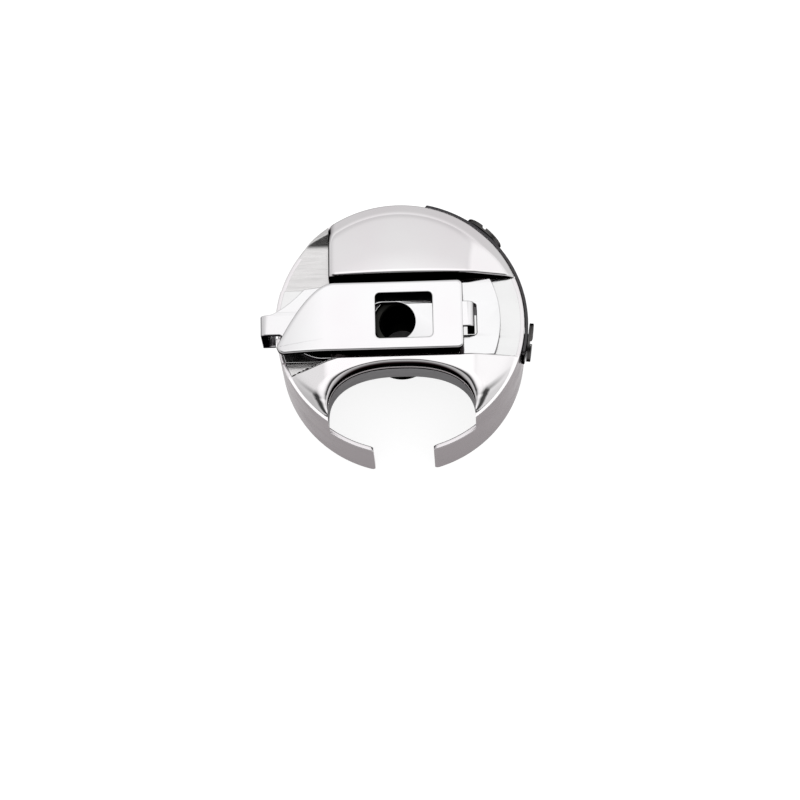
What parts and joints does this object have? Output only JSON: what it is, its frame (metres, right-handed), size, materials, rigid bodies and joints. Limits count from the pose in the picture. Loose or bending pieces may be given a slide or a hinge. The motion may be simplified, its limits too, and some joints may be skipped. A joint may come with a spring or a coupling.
{
  "type": "bobbin case",
  "caption": "Metal cup that holds a sewing bobbin, with an arched opening, a hinged latch lever on a sliding lock plate and a thread tension spring on its wall.",
  "frame": {"origin": "on the bobbin's axis in the plane of the open rim, which the case rests on", "axes": "+Z along the axis from the open rim to the latch face, +X along the latch from the lever's tip to its hinge, +Y away from the arched opening"},
  "size_m": [0.0296, 0.027, 0.0156],
  "materials": {
    "case_metal": "polished nickel plate over steel",
    "latch_metal": "bright polished plate",
    "spring_metal": "polished spring steel",
    "screw_metal": "turned and polished screws",
    "tube_metal": "fine turned steel",
    "wire_metal": "drawn spring wire"
  },
  "bodies": {
    "case": {"case_body": "case_metal", "centre_tube": "tube_metal", "tension_spring": "spring_metal", "fixing_screw": "screw_metal", "latch_spring": "wire_metal"},
    "slide": {"latch_slide": "latch_metal", "hinge_pin": "screw_metal"},
    "lever": {"latch_lever": "latch_metal"},
    "tension_screw": {"tension_screw": "screw_metal"}
  },
  "joints": [
    {"name": "slide_travel", "type": "slide", "parent": "case", "child": "slide", "axis": [1, 0, 0], "range_m": [0, 0.00124], "stiffness_N_per_m": 300, "springref_m": -0.001, "deforming": ["latch_spring"]},
    {"name": "lever_lift", "type": "hinge", "parent": "slide", "child": "lever", "pos_m": [0.006, 0, 0.01405], "axis": [0, 1, 0], "range_deg": [0, 50]},
    {"name": "tension_screw_turn", "type": "hinge", "parent": "case", "child": "tension_screw", "pos_m": [0, 0, 0.0099], "axis": [0.6593, 0.7518, 0], "range_deg": [-180, 180]}
  ],
  "couplings": [
    {"joint": "lever_lift", "follows": "slide_travel", "rad_per_m": 701.75}
  ]
}
